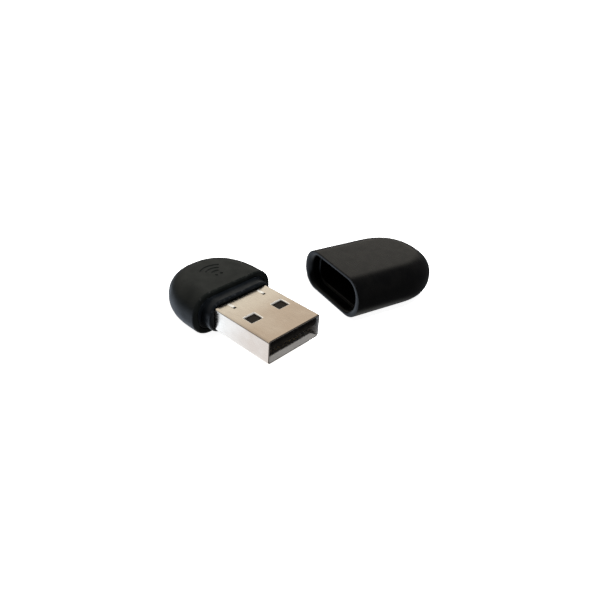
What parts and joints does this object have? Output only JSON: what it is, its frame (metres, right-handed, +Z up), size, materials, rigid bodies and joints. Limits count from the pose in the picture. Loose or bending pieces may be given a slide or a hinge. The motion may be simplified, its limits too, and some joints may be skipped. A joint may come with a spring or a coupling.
{
  "type": "usb wifi adapter",
  "caption": "USB-A wireless network adapter: D-shaped black plastic housing, collar and bare metal plug, with its matching slip-on cap lying beside it.",
  "frame": {"origin": "on the table, at the middle of the housing's flat underside", "axes": "+X along the plug towards its tip, +Y towards the side where the cap lies, +Z up"},
  "size_m": [0.0322, 0.0484, 0.0082],
  "materials": {
    "housing_plastic": "satin black moulded ABS",
    "collar_plastic": "satin black moulded ABS",
    "cap_plastic": "satin black moulded ABS",
    "plug_nickel": "nickel-plated sheet steel, faint rolling grain",
    "insulator_plastic": "black moulded thermoplastic",
    "contact_gold": "gold-flashed copper alloy",
    "board_laminate": "green solder mask over glass-epoxy laminate",
    "shield_tinplate": "tin-plated steel sheet",
    "chip_epoxy": "black epoxy package",
    "capacitor_ceramic": "tan multilayer ceramic",
    "resistor_film": "black-coated thick-film chip",
    "antenna_ceramic": "white ceramic",
    "inductor_ferrite": "dark grey ferrite",
    "crystal_lid": "kovar lid"
  },
  "bodies": {
    "adapter": {"capacitor_1": "capacitor_ceramic", "capacitor_2": "capacitor_ceramic", "capacitor_3": "capacitor_ceramic", "capacitor_4": "capacitor_ceramic", "capacitor_5": "capacitor_ceramic", "chip_antenna": "antenna_ceramic", "circuit_board": "board_laminate", "contact_data_minus": "contact_gold", "contact_data_plus": "contact_gold", "contact_ground": "contact_gold", "contact_vbus": "contact_gold", "crystal_can": "crystal_lid", "front_collar": "collar_plastic", "housing_shell": "housing_plastic", "memory_chip": "chip_epoxy", "plug_insulator": "insulator_plastic", "plug_shell": "plug_nickel", "power_inductor": "inductor_ferrite", "radio_chip": "chip_epoxy", "resistor_1": "resistor_film", "resistor_2": "resistor_film", "resistor_3": "resistor_film", "resistor_4": "resistor_film", "shield_cover": "shield_tinplate", "shield_frame": "shield_tinplate", "surge_protector": "chip_epoxy", "voltage_regulator": "chip_epoxy"},
    "cap": {"cap_shell": "cap_plastic"}
  },
  "joints": [
    {"name": "cap_swing", "type": "hinge", "parent": "adapter", "child": "cap", "pos_m": [0.00582, 0.00328, 0.0041], "axis": [0, 0, 1], "range_deg": [-74.2, 0]}
  ]
}
